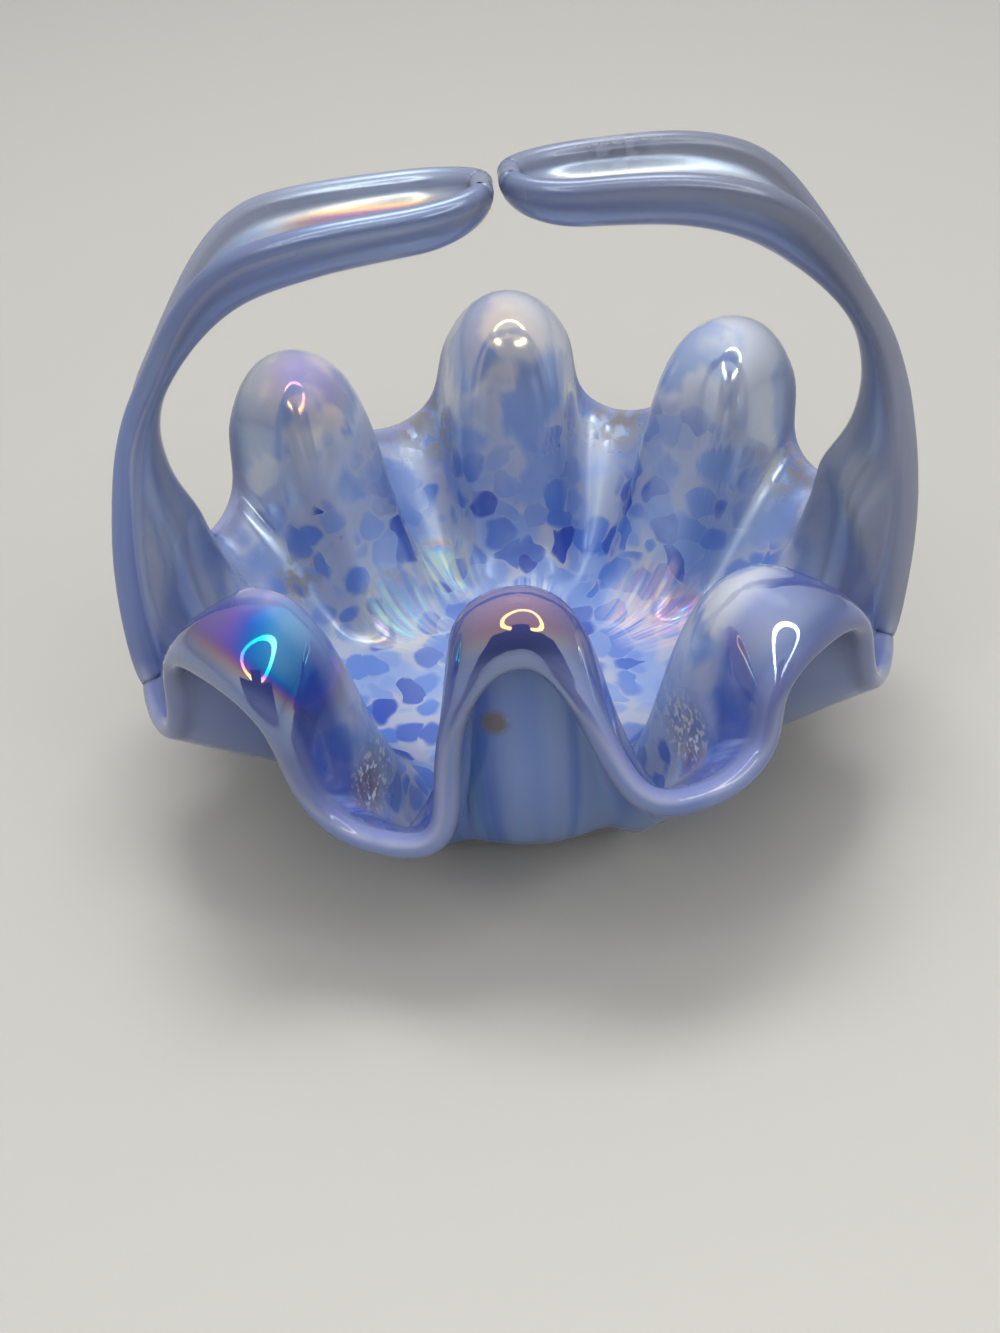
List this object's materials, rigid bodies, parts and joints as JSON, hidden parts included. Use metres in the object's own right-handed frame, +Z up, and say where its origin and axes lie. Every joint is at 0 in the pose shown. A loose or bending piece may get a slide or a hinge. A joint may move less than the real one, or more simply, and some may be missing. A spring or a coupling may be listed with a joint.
{
  "type": "glass basket",
  "caption": "Hand-blown glass basket: a fluted bowl with curled lobes and two arms that rise and nearly meet over it.",
  "frame": {"origin": "middle of the flat foot, on the surface that the basket stands on", "axes": "+Z up, +X towards the right arm's root, -Y towards the front of the bowl"},
  "size_m": [0.1362, 0.1312, 0.1086],
  "materials": {
    "glass": "polished"
  },
  "bodies": {
    "root": {"basket": "glass"}
  },
  "joints": []
}
